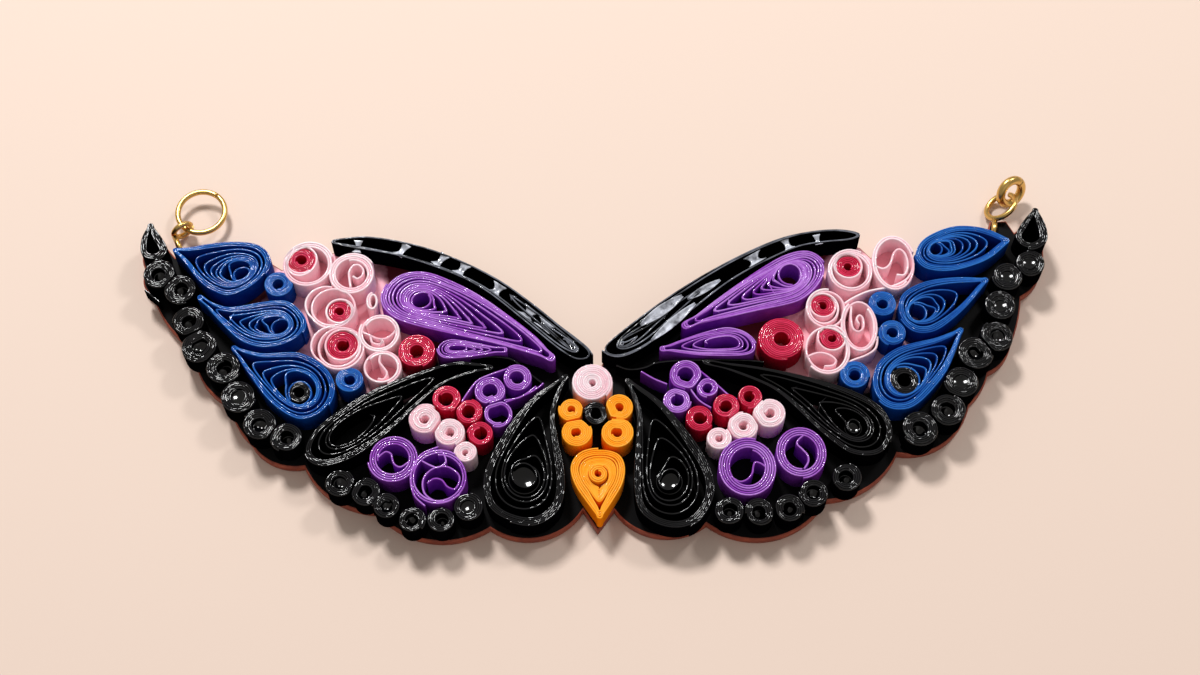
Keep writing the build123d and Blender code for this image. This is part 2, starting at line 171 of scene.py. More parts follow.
# rounding: of the cut edge, share of the thickness; waver: how far the edge dips with the streaks, mm;
# crest: streak that leaves it at full height; streakLength in mm; lift: height before the edge is levelled.
strip = {"foot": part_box("backing")[1].z / mm, "top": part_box("head_coil")[1].z / mm, "rounding": 0.4,
         "waver": 0.08, "crest": 0.7, "streakLength": 5, "streakGain": 0.7, "lift": 1.0, "seeds": (0, 100)}
# How the tops of the solids are read, in mm; upward: share of a face's normal.
reading = {"weld": 0.001, "level": 0.01, "upward": 0.9, "twin": 0.3}


def span(loop):
    return max(p.x for p in loop) - min(p.x for p in loop) + max(p.y for p in loop) - min(p.y for p in loop)


def topLoops(nodeName):
    mesh = bmesh.new()
    mesh.from_mesh(frame["nodes"][nodeName].data)
    bmesh.ops.remove_doubles(mesh, verts=mesh.verts, dist=reading["weld"] * mm)
    high = max(v.co.z for v in mesh.verts)
    tops = {f for f in mesh.faces if f.normal.z > reading["upward"]
            and f.calc_center_median().z > high - reading["level"] * mm}
    border = dict.fromkeys(e for e in mesh.edges if sum(f in tops for f in e.link_faces) == 1)
    loops = []
    while border:
        edge, _ = border.popitem()
        first, vert = edge.verts
        loop = [first, vert]
        while True:
            onward = next((e for e in vert.link_edges if e in border), None)
            if onward is None:
                break
            border.pop(onward)
            vert = onward.other_vert(vert)
            loop.append(vert)
        loops.append([Vector((v.co.x / mm, v.co.y / mm)) for v in loop[:-1]])
    mesh.free()
    return sorted(loops, key=span, reverse=True)


def middle(points):
    return sum(points, Vector((0.0, 0.0))) / len(points)


def roundCoils(nodeName):
    coils = []
    for loop in topLoops(nodeName):
        center = middle(loop)
        radius = max((p - center).length for p in loop)
        if not any((center - other).length < reading["twin"] for other, _ in coils):
            coils.append((center, radius))
    return sorted(coils, key=lambda coil: coil[0].x)


def evenSteps(points, closed, count):
    line = points + points[:1] if closed else points
    reach = [0.0]
    for a, b in zip(line, line[1:]):
        reach.append(reach[-1] + (b - a).length)
    steps = []
    k = 0
    for i in range(count):
        goal = reach[-1] * i / (count if closed else count - 1)
        while k < len(line) - 2 and reach[k + 1] < goal:
            k += 1
        size = max(reach[k + 1] - reach[k], tiny)
        steps.append(line[k].lerp(line[k + 1], min(1.0, (goal - reach[k]) / size)))
    return steps


# A smooth open curve through the points.
def smoothCurve(points, count):
    last = len(points) - 1
    curve = []
    for i in range(last * fine + 1):
        k, t = divmod(i / fine, 1.0)
        a, b, c, d = (points[min(max(int(k) + j, 0), last)] for j in (-1, 0, 1, 2))
        curve.append(0.5 * (2 * b + (c - a) * t + (2 * a - 5 * b + 4 * c - d) * t * t
                            + (3 * b - a - 3 * c + d) * t ** 3))
    return evenSteps(curve, False, count)


# Neighbours that press on a coil flatten it where they touch.
def squeezed(center, radius, neighbours, angle):
    glancing = 0.1
    ray = Vector((math.cos(angle), math.sin(angle)))
    reach = radius
    for other, size in neighbours:
        apart = other - center
        facing = ray.dot(apart.normalized())
        if facing > glancing:
            reach = min(reach, apart.length * radius / (radius + size) / facing)
    return reach * ray


def tightPath(center, radius, hole, pitch, start, turn, neighbours):
    turnSteps = 24
    turns = radius * (1 - hole) / pitch
    count = int(turns * turnSteps)
    path = []
    for i in range(count + 1):
        angle = start + turn * 2 * math.pi * turns * i / count
        path.append(center + squeezed(center, radius, neighbours, angle) * (1 + (hole - 1) * i / count))
    return path


# steps: points round the outline; tip: how blunt the pinch is, mm; blunt: limit to how a slanting rim spreads
# its turns, read over a window of steps; beakReach: where a drawn-out tip starts, mm; firm: easing of packed
# turns; softGain, roomGain, leanGain: how soon the loops ease, find room and lean; eye: its last turn.
pinch = {"steps": 160, "tip": 0.28, "blunt": 0.85, "window": range(-5, 6), "beakReach": 1.5, "firm": 0.01,
         "softGain": 3, "roomGain": 4, "leanGain": 2.5, "passes": 300,
         "eye": {"points": 30, "turnSteps": 24, "creep": 0.008, "firm": 0.02}}


# The outline of a shaped coil, anticlockwise from its tip.
def pinchedOutline(nodeName):
    loop = topLoops(nodeName)[0]
    n = len(loop)
    area = sum(loop[i - 1].cross(loop[i]) for i in range(n))
    if area < 0:
        loop.reverse()
    corners = [(loop[i] - loop[i - 1]).angle(loop[(i + 1) % n] - loop[i]) for i in range(n)]
    tip = corners.index(max(corners))
    loop = loop[tip:] + loop[:tip]
    return evenSteps(smoothCurve(loop + loop[:1], fine * n), True, pinch["steps"])


# The middle line from the tip, the direction across it, half the width there and the distance along.
def coilSpine(outline, tip):
    half = len(outline) // 2
    line = [(outline[i] + outline[-i]) / 2 for i in range(half + 1)]
    across = [(outline[i] - outline[-i]) / 2 for i in range(half + 1)]
    widths = [a.length for a in across]
    across[0], across[half] = across[1], across[half - 1]
    across = [a.normalized() for a in across]
    along = [0.0]
    for a, b in zip(line, line[1:]):
        along.append(along[-1] + (b - a).length)
    for j in range(half // 2):
        rounded = math.sqrt(tip * tip - (tip - along[j]) ** 2) if along[j] < tip else tip
        widths[j] = max(widths[j], rounded)
    return line, across, widths, along


# From the straightened coil, x along its middle line and y across, back to the plan.
def bentBack(spot, line, across, along):
    last = len(along) - 2
    j = next((k for k in range(last + 1) if along[k + 1] > spot.x), last)
    t = (spot.x - along[j]) / max(along[j + 1] - along[j], tiny)
    side = across[j].lerp(across[j + 1], min(max(t, 0.0), 1.0)).normalized()
    return line[j] + (line[j + 1] - line[j]) * t + side * spot.y


# One strip: first the turns packed along the rim, then loops fanned out by the given shares towards the tip.
def pinchedPath(nodeName, eyeSpot, coil, pitch):
    count = pinch["steps"]
    half = count // 2
    line, across, widths, along = coilSpine(pinchedOutline(nodeName), coil.get("tip", pinch["tip"]))
    near = min(range(half + 1), key=lambda j: (line[j] - eyeSpot).length)
    center = Vector((along[near], (eyeSpot - line[near]).dot(across[near])))
    rim = []
    for i in range(count):
        j = min(i, count - i)
        beak = coil.get("beak", 0.0) * max(1 - along[j] / pinch["beakReach"], 0.0) ** 2
        rim.append(Vector((along[j] - beak, widths[j] if i <= half else -widths[j])))
    rays = [spot - center for spot in rim]
    reach = [r.length for r in rays]
    rays = [r.normalized() for r in rays]
    facing = [abs(rays[i].cross((rim[(i + 1) % count] - rim[i - 1]).normalized())) for i in range(count)]
    blunt = coil.get("blunt", pinch["blunt"])
    slant = [max(blunt, min(facing[(i + k) % count] for k in pinch["window"])) for i in range(count)]
    nearest, farthest = min(reach), max(reach)
    eyeRadius, fan, turns = coil["radius"], coil["fan"], coil["rim"]
    path = []
    loose = []
    for k in range(turns + len(fan) - 1):
        for i in range(0 if k else half, count):
            t = i / count
            lap = k + t - 0.5
            inner = max(reach[i] - min(lap, turns) * pitch / slant[i], eyeRadius)
            spot = center + rays[i] * inner
            ease = pinch["firm"]
            if k >= turns:
                opened = ((reach[i] - nearest) / (farthest - nearest)) ** coil["spread"]
                share = fan[k - turns] + (fan[k - turns + 1] - fan[k - turns]) * t
                packed = max(reach[i] - lap * pitch / slant[i], eyeRadius)
                fanned = eyeRadius + (inner - eyeRadius) * share
                spot = center + rays[i] * (packed + (fanned - packed) * opened)
                ease = max(ease, coil["soft"] * min(1.0, (1 - share) * pinch["softGain"]))
                j = min(range(half + 1), key=lambda m: abs(along[m] - spot.x))
                room = max(widths[j] - lap * pitch - abs(spot.y), 0.0) * min(1.0, share * pinch["roomGain"])
                toTip = min(max((center.x - spot.x) / center.x * pinch["leanGain"], 0.0), 1.0)
                spot.y += coil.get("lean", 0) * room * toTip
            path.append(spot)
            loose.append(ease)
    if fan[-1] == 0:
        eye = pinch["eye"]
        turn = 1 if sum(rays[i - 1].cross(rays[i]) for i in range(count)) > 0 else -1
        first = math.atan2(rays[0].y, rays[0].x)
        for i in range(eye["points"]):
            angle = first + turn * 2 * math.pi * i / eye["turnSteps"]
            ray = Vector((math.cos(angle), math.sin(angle)))
            path.append(center + eyeRadius * (1 - eye["creep"] * i) * ray)
            loose.append(eye["firm"])
    for _ in range(pinch["passes"]):
        eased = [(a + c) / 2 for a, c in zip(path, path[2:])]
        path[1:-1] = [b.lerp(e, 0.5 * w) for b, e, w in zip(path[1:-1], eased, loose[1:-1])]
    return [bentBack(spot, line, across, along) for spot in path]


def faceOutwards(mesh):
    bmesh.ops.recalc_face_normals(mesh, faces=mesh.faces)


def vertsOf(geometry):
    return [g for g in geometry if isinstance(g, bmesh.types.BMVert)]


def ribbon(mesh, path, level, thickness):
    streak = mesh.verts.layers.float["streak"]
    along = mesh.verts.layers.float["run"]
    seed = pick.uniform(*strip["seeds"])
    known = set(mesh.verts)
    run = 0.0
    foot = []
    for before, point in zip(path[:1] + path, path):
        run += (point - before).length
        foot.append(mesh.verts.new((point.x * mm, point.y * mm, strip["foot"] * mm)))
        foot[-1][streak] = 0.5 + strip["streakGain"] * noise.noise((run / strip["streakLength"], seed, 0.0))
        foot[-1][along] = (run + seed) * mm
    edges = [mesh.edges.new(pair) for pair in zip(foot, foot[1:])]
    raised = bmesh.ops.extrude_edge_only(mesh, edges=edges)["geom"]
    walls = [g for g in raised if isinstance(g, bmesh.types.BMFace)]
    bmesh.ops.translate(mesh, verts=vertsOf(raised), vec=(0, 0, strip["lift"] * mm))
    bmesh.ops.recalc_face_normals(mesh, faces=walls)
    bmesh.ops.solidify(mesh, geom=walls, thickness=thickness * mm)
    for vert in mesh.verts:
        if vert not in known and vert.co.z > (strip["foot"] + strip["lift"] / 2) * mm:
            dip = strip["waver"] * (vert[streak] - strip["crest"])
            vert.co.z = (level(vert.co.x / mm, vert.co.y / mm) + dip) * mm


def place(name, mesh, materials, nodes, body="butterfly"):
    data = bpy.data.meshes.new(name)
    mesh.to_mesh(data)
    mesh.free()
    for material in materials:
        data.materials.append(material)
    piece = bpy.data.objects.new(name, data)
    scene.collection.objects.link(piece)
    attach(piece, body)
    if nodes:
        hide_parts(*nodes)


edgeTests = {"top": 0.6, "side": 0.3, "crease": 1.0}  # upward shares of the normals, radians


def paperPiece(name, ribbons, slotName, nodes, thickness=0, materials=None):
    mesh = bmesh.new()
    mesh.verts.layers.float.new("streak")
    mesh.verts.layers.float.new("run")
    thickness = thickness or paperTones[slotName]["thick"]
    for path, level in ribbons:
        ribbon(mesh, path, level, thickness)
    faceOutwards(mesh)
    rims = [e for e in mesh.edges if len(e.link_faces) == 2
            and max(f.normal.z for f in e.link_faces) > edgeTests["top"]
            and min(f.normal.z for f in e.link_faces) < edgeTests["side"]]
    bmesh.ops.bevel(mesh, geom=rims, offset=strip["rounding"] * thickness * mm, segments=3, profile=0.5,
                    affect="EDGES", material=-1)
    # Faces that look up take the lighter cut edge material, partly for the fibres and partly as painted light from
    # above; the walls' deeper tone is partly painted shade.
    for face in mesh.faces:
        face.smooth = True
        face.material_index = 1 if face.normal.z > edgeTests["side"] else 0
    for edge in mesh.edges:
        edge.smooth = len(edge.link_faces) == 2 and edge.calc_face_angle() < edgeTests["crease"]
    place(name, mesh, materials or papers[slotName], nodes)


def loweredTop(drop):
    return lambda x, y: strip["top"] - drop


flatTop = loweredTop(0.0)
rolls = {"leanShare": (0.3, 1.0), "steepest": 1.5}


# A rolled coil never lies quite level: each has its own small tilt, and the varnish rounds its rim over.
def rolledTop(center, radius, hole, tilt, dome):
    heading = pick.uniform(0, 2 * math.pi)
    lean = pick.uniform(*rolls["leanShare"]) * tilt

    def level(x, y):
        share = Vector((x - center.x, y - center.y)) / radius
        slope = lean * (share.x * math.cos(heading) + share.y * math.sin(heading))
        away = (share.length - (1 + hole) / 2) / ((1 - hole) / 2)
        return strip["top"] + slope - lean - dome * min(away * away, rolls["steepest"])
    return level


# swell: how far the soft roll spreads past the solid; hole: share of the radius; pitch, tilt, dome in mm;
# loose: coils, by their order from the left, that have sprung open, with their growth and hole;
# seats: plan place and radius, mm, of coils that sit inside others.
tightGroups = {
    "left_edge_beads": {"swell": 1.22, "hole": 0.46, "pitch": 0.18, "tilt": 0.2, "dome": 0.12},
    "right_edge_beads": {"swell": 1.2, "hole": 0.44, "pitch": 0.18, "tilt": 0.2, "dome": 0.12},
    "left_lower_beads": {"swell": 1.2, "hole": 0.5, "pitch": 0.18, "tilt": 0.15, "dome": 0.1},
    "right_lower_beads": {"swell": 1.2, "hole": 0.5, "pitch": 0.18, "tilt": 0.15, "dome": 0.1},
    "left_blue_coils": {"swell": 1.15, "hole": 0.42, "pitch": 0.14, "tilt": 0.1, "dome": 0.08},
    "right_blue_coils": {"swell": 1.15, "hole": 0.42, "pitch": 0.14, "tilt": 0.1, "dome": 0.08},
    "left_purple_coils": {"swell": 1.12, "hole": 0.5, "pitch": 0.17, "tilt": 0.1, "dome": 0.05,
                          "loose": {1: (1.3, 0.72)}},
    "right_purple_coils": {"swell": 1.12, "hole": 0.5, "pitch": 0.17, "tilt": 0.1, "dome": 0.05},
    "left_small_crimson": {"swell": 1.1, "hole": 0.55, "pitch": 0.16, "tilt": 0.05, "dome": 0.06},
    "right_small_crimson": {"swell": 1.1, "hole": 0.5, "pitch": 0.16, "tilt": 0.05, "dome": 0.06},
    "left_small_pink": {"swell": 1.17, "hole": 0.34, "pitch": 0.18, "tilt": 0.05, "dome": 0.08},
    "right_small_pink": {"swell": 1.17, "hole": 0.36, "pitch": 0.18, "tilt": 0.05, "dome": 0.08},
    "left_crimson_coils": {"swell": 1.12, "hole": 0.4, "pitch": 0.17, "tilt": 0.1, "dome": 0.08,
                           "seats": ((-25.95, 16.85, 1.3), (-22.33, 11.82, 1.1), (-21.89, 8.61, 1.42))},
    "right_crimson_coils": {"swell": 1.1, "hole": 0.36, "pitch": 0.17, "tilt": 0.1, "dome": 0.08,
                            "seats": ((21.85, 16.27, 1.15), (19.45, 12.4, 1.1), (20.06, 9.28, 1.15))},
    "head_coil": {"swell": 1.1, "hole": 0.22, "pitch": 0.18, "tilt": 0.02, "dome": 0.1},
    "orange_coils": {"swell": 1.2, "hole": 0.36, "pitch": 0.16, "tilt": 0.05, "dome": 0.04},
    "black_body_bead": {"swell": 1.08, "hole": 0.5, "pitch": 0.18, "tilt": 0.05, "dome": 0.08},
    "black_eye_coils": {"swell": 1.0, "hole": 0.5, "pitch": 0.18, "tilt": 0.05, "dome": 0.08,
                        "seats": ((-25.33, 4.14, 1.03), (26.06, 5.31, 1.35))},
}


def swollenCoils(nodeName, group):
    coils = [(center, radius * group["swell"]) for center, radius in roundCoils(nodeName)]
    for k, (growth, _) in group.get("loose", {}).items():
        coils[k] = (coils[k][0], coils[k][1] * growth)
    for x, y, radius in group.get("seats", ()):
        seat = Vector((x, y))
        coils.remove(min(coils, key=lambda coil: (coil[0] - seat).length))
        coils.append((seat, radius))
    return coils


coilsOf = {name: swollenCoils(name, group) for name, group in tightGroups.items()}
everyRound = [coil for coils in coilsOf.values() for coil in coils]
for nodeName, group in tightGroups.items():
    ribbons = []
    for k, (center, radius) in enumerate(coilsOf[nodeName]):
        pressing = [other for other in everyRound if tiny < (other[0] - center).length < radius + other[1]]
        _, hole = group.get("loose", {}).get(k, (1.0, group["hole"]))
        start = pick.uniform(0, anyTurn)
        turn = pick.choice((-1, 1))
        path = tightPath(center, radius, hole, group["pitch"], start, turn, pressing)
        ribbons.append((path, rolledTop(center, radius, hole, group["tilt"], group["dome"])))
    paperPiece(nodeName + "_strips", ribbons, slotOf[nodeName], [nodeName])
print("tight coils")

# eye: share of the coil's box; radius: of the eye, mm; rim: turns packed along the outline; fan: where loops
# end, eye (0) to rim (1); soft: how round they are; spread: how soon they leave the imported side; lean: to one
# rim; thick: where it isn't the colour's own; tip, beak, blunt: as in pinch; center: a raised coil inside.
pinchedCoils = {
    "left_tip_teardrop": {"eye": (0.45, 0.36), "radius": 0.35, "rim": 4, "fan": (1,)},
    "right_tip_teardrop": {"eye": (0.5, 0.42), "radius": 0.35, "rim": 4, "fan": (1,)},
    "left_blue_upper": {"eye": (0.71, 0.4), "radius": 0.95, "rim": 3, "soft": 0.9, "spread": 0.8, "lean": 0.4,
                        "beak": 0.7, "fan": (1, 0.78, 0.54, 0.34, 0.2, 0.1, 0)},
    "right_blue_upper": {"eye": (0.22, 0.48), "radius": 0.9, "rim": 4, "soft": 0.9, "spread": 0.7,
                         "fan": (1, 0.83, 0.66, 0.5, 0.34, 0.14, 0.07, 0)},
    "left_blue_middle": {"eye": (0.77, 0.4), "radius": 1.1, "rim": 3, "soft": 0.9, "spread": 0.8, "lean": 0.4,
                         "fan": (1, 0.84, 0.6, 0.38, 0.2, 0.08, 0)},
    "right_blue_middle": {"eye": (0.2, 0.36), "radius": 1.2, "rim": 4, "soft": 0.9, "spread": 0.7,
                          "fan": (1, 0.62, 0.28, 0.1, 0)},
    "left_blue_lower": {"eye": (0.72, 0.3), "radius": 1.42, "rim": 3, "soft": 0.9, "spread": 0.8, "lean": 0.5,
                        "fan": (1, 0.75, 0.46, 0.22, 0)},
    "right_blue_lower": {"eye": (0.32, 0.33), "radius": 1.75, "rim": 4, "soft": 0.9, "spread": 0.7,
                         "fan": (1, 0.78, 0.48, 0.22, 0)},
    "left_purple_large": {"eye": (0.24, 0.66), "radius": 1.15, "rim": 3, "soft": 0.3, "spread": 0.1,
                          "lean": -0.95, "tip": 0.42, "thick": 0.17,
                          "fan": (1, 0.95, 0.8, 0.65, 0.5, 0.38, 0.27, 0.12, 0)},
    "right_purple_large": {"eye": (0.74, 0.68), "radius": 1.4, "rim": 3, "soft": 0.3, "spread": 0.1,
                           "lean": 0.95, "tip": 0.42, "thick": 0.17,
                           "fan": (1, 0.94, 0.76, 0.6, 0.42, 0.28, 0.18, 0.09, 0)},
    "left_purple_small": {"eye": (0.24, 0.5), "radius": 0.3, "rim": 2, "soft": 0.5, "spread": 0.3,
                          "lean": -0.3, "thick": 0.12, "blunt": 0.9, "fan": (1, 0.78, 0.6, 0.42, 0.2)},
    "right_purple_small": {"eye": (0.66, 0.5), "radius": 0.6, "rim": 3, "soft": 0.5, "spread": 0.6,
                           "thick": 0.13, "fan": (1, 0.75, 0.5, 0.2)},
    "left_leaf": {"eye": (0.2, 0.32), "radius": 0.7, "rim": 4, "soft": 0.5, "spread": 0.3, "thick": 0.13,
                  "fan": (1, 0.7, 0.42, 0.15)},
    "right_leaf": {"eye": (0.8, 0.32), "radius": 0.8, "rim": 4, "soft": 0.6, "spread": 0.3, "thick": 0.13,
                   "fan": (1, 0.72, 0.46, 0.2, 0)},
    "left_body_teardrop": {"eye": (0.48, 0.32), "radius": 1.45, "rim": 5, "soft": 0.9, "spread": 0.3,
                           "thick": 0.14, "fan": (1, 0.62, 0.32, 0)},
    "right_body_teardrop": {"eye": (0.5, 0.32), "radius": 1.2, "rim": 5, "soft": 0.9, "spread": 0.3,
                            "thick": 0.14, "fan": (1, 0.66, 0.36, 0)},
    "left_fore_band": {"eye": (0.93, 0.1), "radius": 0.25, "rim": 2, "blunt": 1.0, "soft": 0.2, "spread": 0.1,
                       "thick": 0.13, "fan": (1, 0.3, 0.15, 0)},
    "right_fore_band": {"eye": (0.07, 0.1), "radius": 0.25, "rim": 2, "blunt": 1.0, "soft": 0.2,
                        "spread": 0.1, "thick": 0.13, "fan": (1, 0.35, 0.2, 0)},
    "orange_teardrop": {"eye": (0.5, 0.62), "radius": 1.0, "rim": 4, "soft": 0.1, "spread": 0.7,
                        "fan": (1, 0.68, 0.62, 0.55, 0.47, 0.38, 0.29, 0.19, 0.09),
                        "center": {"gap": 0.12, "hole": 0.42, "pitch": 0.165, "start": 1.0, "rise": 0.35}},
}
packing = 1.06  # pitch of packed turns for each thickness of paper
blackEyes = [seat for seat, _ in coilsOf["black_eye_coils"]]
eyeSpots = {}
for nodeName, coil in pinchedCoils.items():
    low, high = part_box(nodeName)
    acrossShare, upShare = coil["eye"]
    eyeSpot = Vector((low.x + (high.x - low.x) * acrossShare, low.y + (high.y - low.y) * upShare)) / mm
    if "lower" in nodeName:
        eyeSpot = min(blackEyes, key=lambda seat: (seat - eyeSpot).length)
    eyeSpots[nodeName] = eyeSpot
    slotName = slotOf[nodeName]
    thickness = coil.get("thick", paperTones[slotName]["thick"])
    path = pinchedPath(nodeName, eyeSpot, coil, thickness * packing)
    ribbons = [(path, flatTop)]
    if "center" in coil:
        core = coil["center"]
        ribbons[0] = (path, loweredTop(core["rise"]))
        radius = coil["radius"] - core["gap"]
        path = tightPath(eyeSpot, radius, core["hole"], core["pitch"], core["start"], 1, [])
        ribbons.append((path, flatTop))
    # The fore bands' tops take the frosted edge with its painted grey sheen.
    materials = [papers["black_paper"][0], frostedSheen] if "band" in nodeName else None
    paperPiece(nodeName + "_strip", ribbons, slotName, [nodeName], thickness, materials)
print("pinched coils")


def ovalOf(nodeName, swell):
    low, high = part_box(nodeName)
    return ((low + high) / 2 / mm).to_2d(), ((high - low) / 2 / mm).to_2d() * swell


# pitch of the outer roll, mm; swell: how far it spreads past the solid; turnSteps, curlSteps: points on it.
scrollRoll = {"pitch": 0.2, "swell": {"pink_paper": 1.16, "purple_paper": 1.1}, "turnSteps": 36,
              "curlSteps": 48}


def rimPath(center, half, turns, start):
    count = int(turns * scrollRoll["turnSteps"])
    path = []
    for i in range(count + 1):
        angle = start + 2 * math.pi * turns * i / count
        inset = scrollRoll["pitch"] * turns * i / count
        x = (half.x - inset) * math.cos(angle)
        y = (half.y - inset) * math.sin(angle)
        path.append(center + Vector((x, y)))
    return path


# rim: turns of the outer roll; curls: the strip inside, as shares of the opening from its middle.
openScrolls = {
    "left_pink_scroll_2": {"rim": 3.2, "curls": [
        [(-0.1, -0.95), (-0.2, -0.4), (-0.25, 0.1), (-0.05, 0.55), (0.35, 0.68), (0.7, 0.35), (0.7, -0.1),
         (0.35, -0.4), (0.0, -0.2)]]},
    "left_pink_scroll_5": {"rim": 2.0, "curls": [
        [(-0.98, 0.1), (-0.55, -0.1), (-0.1, -0.3), (0.35, -0.3), (0.7, -0.05), (0.97, 0.3)],
        [(-0.6, -0.2), (-0.45, -0.65), (0.0, -0.8), (0.3, -0.6), (0.12, -0.35)]]},
    "left_pink_scroll_6": {"rim": 1.6, "curls": [
        [(-0.2, 0.98), (-0.25, 0.4), (0.0, 0.0), (0.25, -0.4), (0.1, -0.75), (-0.2, -0.7)]]},
    "right_pink_scroll_2": {"rim": 1.8, "curls": [
        [(-1.0, -0.05), (-0.6, -0.18), (-0.25, 0.0), (0.0, 0.45), (0.35, 0.62), (0.7, 0.4), (0.8, -0.1),
         (0.55, -0.5), (0.1, -0.5)]]},
    "right_pink_scroll_4": {"rim": 1.8, "curls": [
        [(-0.55, 0.85), (-0.62, 0.3), (-0.5, -0.15), (-0.1, -0.3), (0.3, -0.1), (0.3, 0.35), (0.0, 0.5),
         (-0.25, 0.3), (-0.1, 0.05)]]},
    "left_pink_loop": {"rim": 1.4},
    "left_purple_s_coil_1": {"rim": 4.0, "curls": [
        [(-0.98, 0.1), (-0.5, 0.5), (-0.1, 0.35), (0.0, 0.0), (0.15, -0.35), (0.5, -0.5), (0.97, -0.15)]]},
    "left_purple_s_coil_2": {"rim": 2.1},
    "right_purple_s_coil_1": {"rim": 5.0, "curls": [
        [(-0.95, -0.45), (-0.5, -0.72), (-0.1, -0.62), (0.18, -0.3), (0.25, 0.05), (0.38, 0.3), (0.7, 0.25),
         (1.0, 0.05)]]},
    "right_purple_s_coil_2": {"rim": 4.0, "curls": [
        [(0.25, 0.95), (-0.15, 0.55), (0.15, 0.2), (0.45, -0.15), (0.48, -0.55), (0.2, -0.97)]]},
}
for nodeName, scroll in openScrolls.items():
    slotName = slotOf[nodeName]
    center, half = ovalOf(nodeName, scrollRoll["swell"][slotName])
    ribbons = [(rimPath(center, half, scroll["rim"], pick.uniform(0, anyTurn)), flatTop)]
    room = half - Vector((scrollRoll["pitch"], scrollRoll["pitch"])) * scroll["rim"]
    for curl in scroll.get("curls", ()):
        points = [center + Vector((x * room.x, y * room.y)) for x, y in curl]
        ribbons.append((smoothCurve(points, scrollRoll["curlSteps"]), flatTop))
    paperPiece(nodeName + "_strips", ribbons, slotName, [nodeName])

# The roll starts round the outside, swings inwards past an open petal and closes round the crimson coil.
# rim: turns of the outer roll; start in degrees; petal: how far the first stretch bulges out, mm.
filledScrolls = {
    "left_pink_scroll_1": {"rim": 2.2, "start": 20},
    "left_pink_scroll_3": {"rim": 1.3, "start": 95, "petal": 0.45},
    "left_pink_scroll_4": {"rim": 1.3, "start": 105, "petal": 0.5},
    "right_pink_scroll_1": {"rim": 1.8, "start": 60},
    "right_pink_scroll_3": {"rim": 1.3, "start": 80},
    "right_pink_scroll_5": {"rim": 1.2, "start": 222},
}
# petalTurn, swing, wrap: turns of the petal, the way inwards and the whole inner part; gap: to the crimson
# coil, mm; closing: how much of it each turn takes up.
innerRoll = {"swell": 1.17, "turnSteps": 40, "petalTurn": 0.32, "swing": 0.7, "wrap": 1.6, "gap": 0.14,
             "closing": 0.06}
for nodeName, scroll in filledScrolls.items():
    center, half = ovalOf(nodeName, innerRoll["swell"])
    seats = coilsOf[nodeName.split("_")[0] + "_crimson_coils"]
    seat, seatRadius = min(seats, key=lambda coil: (coil[0] - center).length)
    path = []
    for i in range(int((scroll["rim"] + innerRoll["wrap"]) * innerRoll["turnSteps"]) + 1):
        t = i / innerRoll["turnSteps"]
        angle = math.radians(scroll["start"]) + 2 * math.pi * t
        ray = Vector((math.cos(angle), math.sin(angle)))
        bulge = scroll.get("petal", 0.0) * math.sin(math.pi * min(t / innerRoll["petalTurn"], 1.0))
        inset = scrollRoll["pitch"] * min(t, scroll["rim"]) - bulge
        rim = center + Vector(((half.x - inset) * ray.x, (half.y - inset) * ray.y))
        ease = min(max((t - scroll["rim"]) / innerRoll["swing"], 0.0), 1.0)
        ease = ease * ease * (3 - 2 * ease)
        closed = innerRoll["closing"] * max(t - scroll["rim"] - innerRoll["swing"], 0.0)
        wrap = seat + ray * (seatRadius + innerRoll["gap"] - closed)
        path.append(rim.lerp(wrap, ease))
    paperPiece(nodeName + "_strip", [(path, flatTop)], slotOf[nodeName], [nodeName])
print("scrolls")

